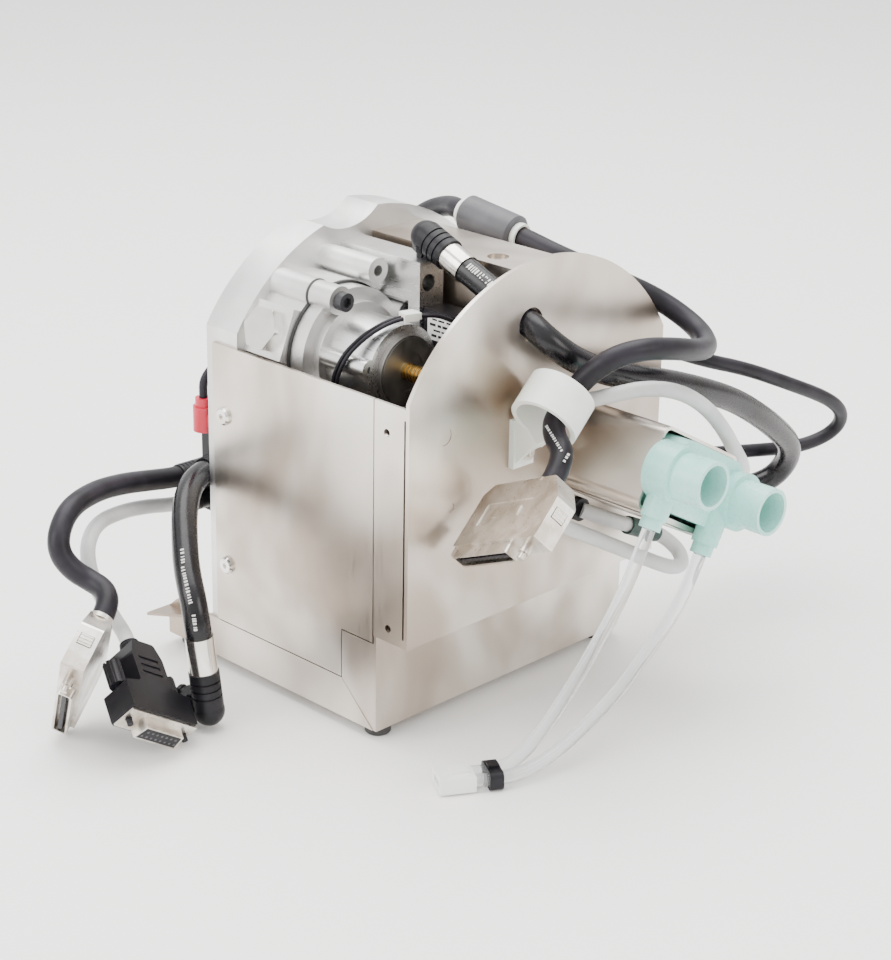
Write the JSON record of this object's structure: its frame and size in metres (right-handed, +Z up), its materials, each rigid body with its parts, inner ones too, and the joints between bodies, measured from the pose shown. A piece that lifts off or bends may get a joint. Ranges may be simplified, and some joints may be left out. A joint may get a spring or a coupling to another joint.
{
  "type": "inkjet printer ink cabinet",
  "caption": "Sheet steel ink cabinet of a date code inkjet printer with gear pump, ink manifold, valve, twin hose sockets, hoses and cables with their connectors.",
  "frame": {"origin": "midway between the side panels, midway from the socket mouths to the tray's rear edge, on the plane the feet stand on", "axes": "+Z up, -Y out of the front plate and its hose sockets, +X to the right seen from the front"},
  "size_m": [0.4314, 0.244, 0.2162],
  "materials": {
    "sheet_steel": "fine brushed stainless sheet, satin",
    "cast_aluminium": "die cast, lightly blasted",
    "machined_aluminium": "machined, satin",
    "bright_steel": "bright plated",
    "black_steel": "black oxide, satin",
    "gear_steel": "ground steel",
    "brass": "turned brass",
    "gasket": "thin sealing sheet",
    "foot_rubber": "moulded rubber",
    "black_plastic": "moulded, satin black",
    "white_nylon": "natural nylon",
    "mint_plastic": "moulded mint green, satin gloss",
    "clear_tube": "clear flexible tube",
    "black_cable": "smooth black jacket",
    "black_hose": "smooth black hose with white lettering",
    "grey_cable": "smooth light grey jacket",
    "grey_sleeve": "dark grey shrink sleeve",
    "nickel": "nickel plated die casting",
    "red_boot": "soft red boot"
  },
  "bodies": {
    "cabinet": {"base_tray": "sheet_steel", "left_panel": "sheet_steel", "right_panel": "sheet_steel", "face_plate": "sheet_steel", "rear_plate": "cast_aluminium", "feet": "foot_rubber", "foot_screws": "bright_steel", "panel_screws": "bright_steel", "inner_cover": "sheet_steel", "manifold_block": "machined_aluminium", "manifold_elbow": "black_plastic", "elbow_ferrule": "bright_steel", "pump_gearcase": "cast_aluminium", "hex_plug": "bright_steel", "pump_gasket": "gasket", "pump_flange": "cast_aluminium", "pump_screws": "black_steel", "motor_barrel": "machined_aluminium", "motor_end_cap": "black_steel", "brass_fitting": "brass", "pump_bearings": "brass", "valve_coil": "black_plastic", "valve_spring": "gear_steel", "cable_clamp": "white_nylon", "shroud": "sheet_steel", "socket_manifold": "mint_plastic", "clear_tube_left": "clear_tube", "clear_tube_right": "clear_tube", "tube_tie": "black_plastic", "tube_connector": "white_nylon", "cable_front": "black_cable", "ferrite_sleeve": "grey_sleeve", "front_hood": "nickel", "front_insulator": "black_plastic", "rear_hood": "nickel", "rear_insulator": "black_plastic", "d_hood": "black_plastic", "d_shell": "nickel", "cable_rear": "black_cable", "cable_grey_rear": "grey_cable", "hose_rear": "black_hose", "hose_rear_ferrule": "bright_steel", "hose_rear_elbow": "black_plastic", "hose_front": "black_hose", "cable_side": "black_cable", "cable_grey_front": "grey_cable", "cable_grey_loop": "grey_cable", "cord_glands": "black_plastic", "red_boot": "red_boot", "thin_leads": "black_cable", "jack_screws": "nickel"},
    "drive": {"drive_shaft": "gear_steel", "motor_rotor": "black_steel"},
    "driven": {"driven_gear": "gear_steel"},
    "plunger": {"valve_plunger": "gear_steel"},
    "latch_a": {"front_latch": "nickel"},
    "latch_b": {"rear_latch": "nickel"},
    "knob_a": {"thumb_screw_left": "black_plastic"},
    "knob_b": {"thumb_screw_right": "black_plastic"},
    "hose_stem": {"hose_rear_stem": "black_plastic"}
  },
  "joints": [
    {"name": "drive_spin", "type": "hinge", "parent": "cabinet", "child": "drive", "pos_m": [-0.041, 0.0525, 0.159], "axis": [0, 1, 0], "continuous": true},
    {"name": "driven_spin", "type": "hinge", "parent": "cabinet", "child": "driven", "pos_m": [-0.041, 0.0525, 0.141], "axis": [0, 1, 0], "continuous": true},
    {"name": "plunger_slide", "type": "slide", "parent": "cabinet", "child": "plunger", "axis": [0, 0, 1], "range_m": [0, 0.0015], "stiffness_N_per_m": 120, "deforming": ["valve_spring"]},
    {"name": "latch_front", "type": "slide", "parent": "cabinet", "child": "latch_a", "axis": [0.1673, 0.9, -0.4025], "range_m": [0, 0.0012], "stiffness_N_per_m": 150},
    {"name": "latch_rear", "type": "slide", "parent": "cabinet", "child": "latch_b", "axis": [0.3084, 0.572, -0.7601], "range_m": [0, 0.0012], "stiffness_N_per_m": 150},
    {"name": "thumb_left_turn", "type": "hinge", "parent": "cabinet", "child": "knob_a", "pos_m": [-0.17552, 0.03392, 0.02359], "axis": [0.3344, 0.8171, 0.4696], "continuous": true},
    {"name": "thumb_right_turn", "type": "hinge", "parent": "cabinet", "child": "knob_b", "pos_m": [-0.14728, 0.03247, 0.00601], "axis": [0.3344, 0.8171, 0.4696], "continuous": true},
    {"name": "stem_turn", "type": "hinge", "parent": "cabinet", "child": "hose_stem", "pos_m": [-0.127, 0.0388, 0.009], "axis": [-0.1995, 0.9476, 0.2494], "continuous": true}
  ],
  "couplings": [
    {"joint": "driven_spin", "follows": "drive_spin", "ratio": -1}
  ]
}
